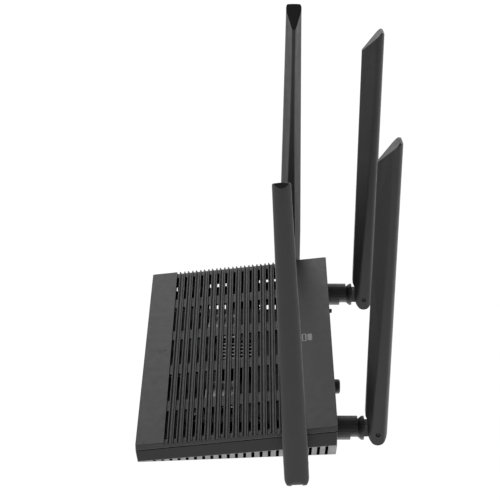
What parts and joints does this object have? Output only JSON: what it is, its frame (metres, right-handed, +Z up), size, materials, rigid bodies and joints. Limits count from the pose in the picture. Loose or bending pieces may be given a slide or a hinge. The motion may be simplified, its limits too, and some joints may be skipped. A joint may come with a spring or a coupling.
{
  "type": "wireless router",
  "caption": "Desktop wireless router: flat case with a sloped ribbed top, vented flanks, connectors at the rear and blade antennas that swivel and fold.",
  "frame": {"origin": "middle of the bounding box in plan, at table height under the feet", "axes": "+X to the right along the case's width, +Y from the front edge to the connector wall, +Z up"},
  "size_m": [0.2952, 0.1792, 0.2455],
  "materials": {
    "cover_black": "fine matte texture, a shade lighter than the case",
    "case_black": "fine matte texture",
    "antenna_black": "fine satin-matte texture",
    "hinge_black": "smooth, darker than the case",
    "foot_rubber": "soft matte",
    "screw_steel": "plain turned steel",
    "element_brass": "bare",
    "board_green": "solder mask",
    "chip_black": "moulded",
    "shield_tinned": "tinned sheet",
    "sink_aluminium": "plain extruded",
    "socket_black": "moulded, slight sheen",
    "light_clear": "clear, moulded"
  },
  "bodies": {
    "case": {"top_cover": "cover_black", "bottom_case": "case_black", "foot_front_left": "foot_rubber", "foot_front_right": "foot_rubber", "foot_rear_left": "foot_rubber", "foot_rear_right": "foot_rubber", "case_screw_front_left": "screw_steel", "case_screw_front_right": "screw_steel", "case_screw_rear_left": "screw_steel", "case_screw_rear_right": "screw_steel", "circuit_board": "board_green", "board_screw_front_left": "screw_steel", "board_screw_front_right": "screw_steel", "board_screw_rear_left": "screw_steel", "board_screw_rear_right": "screw_steel", "lan_socket_block": "socket_black", "wan_socket": "socket_black", "dc_jack": "socket_black", "power_switch": "socket_black", "setup_switch": "socket_black", "status_light_pipe": "light_clear", "status_light_chip": "light_clear", "processor_chip": "chip_black", "processor_heat_sink": "sink_aluminium", "radio_shield_left": "shield_tinned", "radio_shield_right": "shield_tinned", "filter_capacitor_rear": "chip_black", "filter_capacitor_front": "chip_black", "line_transformer_left": "chip_black", "line_transformer_right": "chip_black", "antenna_base_rear_left": "hinge_black", "antenna_base_rear_right": "hinge_black", "antenna_base_side_left": "hinge_black", "antenna_base_side_right": "hinge_black", "antenna_lead_rear_left": "socket_black", "antenna_lead_rear_right": "socket_black", "antenna_lead_side_left": "socket_black", "antenna_lead_side_right": "socket_black"},
    "power_button": {"power_button": "hinge_black"},
    "setup_button": {"setup_button": "hinge_black"},
    "collar_rear_left": {"antenna_collar_rear_left": "hinge_black"},
    "collar_rear_right": {"antenna_collar_rear_right": "hinge_black"},
    "collar_side_left": {"antenna_collar_side_left": "hinge_black"},
    "collar_side_right": {"antenna_collar_side_right": "hinge_black"},
    "blade_rear_left": {"antenna_blade_rear_left": "antenna_black", "antenna_pin_rear_left": "screw_steel", "antenna_element_rear_left": "element_brass"},
    "blade_rear_right": {"antenna_blade_rear_right": "antenna_black", "antenna_pin_rear_right": "screw_steel", "antenna_element_rear_right": "element_brass"},
    "blade_side_left": {"antenna_blade_side_left": "antenna_black", "antenna_pin_side_left": "screw_steel", "antenna_element_side_left": "element_brass"},
    "blade_side_right": {"antenna_blade_side_right": "antenna_black", "antenna_pin_side_right": "screw_steel", "antenna_element_side_right": "element_brass"}
  },
  "joints": [
    {"name": "swivel_rear_left", "type": "hinge", "parent": "case", "child": "collar_rear_left", "pos_m": [-0.0898, 0.05245, 0.0149], "axis": [0, 1, 0], "range_deg": [-90, 45]},
    {"name": "fold_rear_left", "type": "hinge", "parent": "collar_rear_left", "child": "blade_rear_left", "pos_m": [-0.0898, 0.08245, 0.0149], "axis": [-1, 0, 0], "range_deg": [0, 90]},
    {"name": "swivel_rear_right", "type": "hinge", "parent": "case", "child": "collar_rear_right", "pos_m": [0.0898, 0.05245, 0.0149], "axis": [0, -1, 0], "range_deg": [-90, 45]},
    {"name": "fold_rear_right", "type": "hinge", "parent": "collar_rear_right", "child": "blade_rear_right", "pos_m": [0.0898, 0.08245, 0.0149], "axis": [-1, 0, 0], "range_deg": [0, 90]},
    {"name": "swivel_side_left", "type": "hinge", "parent": "case", "child": "collar_side_left", "pos_m": [-0.115, 0.02345, 0.0134], "axis": [-1, 0, 0], "range_deg": [-90, 90]},
    {"name": "fold_side_left", "type": "hinge", "parent": "collar_side_left", "child": "blade_side_left", "pos_m": [-0.1405, 0.02345, 0.0134], "axis": [0, -1, 0], "range_deg": [0, 90]},
    {"name": "swivel_side_right", "type": "hinge", "parent": "case", "child": "collar_side_right", "pos_m": [0.115, 0.02345, 0.0134], "axis": [-1, 0, 0], "range_deg": [-86.66, 93.34]},
    {"name": "fold_side_right", "type": "hinge", "parent": "collar_side_right", "child": "blade_side_right", "pos_m": [0.1405, 0.02345, 0.0134], "axis": [0, 0.9983, 0.0583], "range_deg": [0, 90]},
    {"name": "power_press", "type": "slide", "parent": "case", "child": "power_button", "axis": [0, -1, 0], "range_m": [0, 0.0018], "stiffness_N_per_m": 400, "springref_m": -0.0005},
    {"name": "setup_press", "type": "slide", "parent": "case", "child": "setup_button", "axis": [0, -1, 0], "range_m": [0, 0.0006], "stiffness_N_per_m": 300, "springref_m": -0.0005}
  ]
}
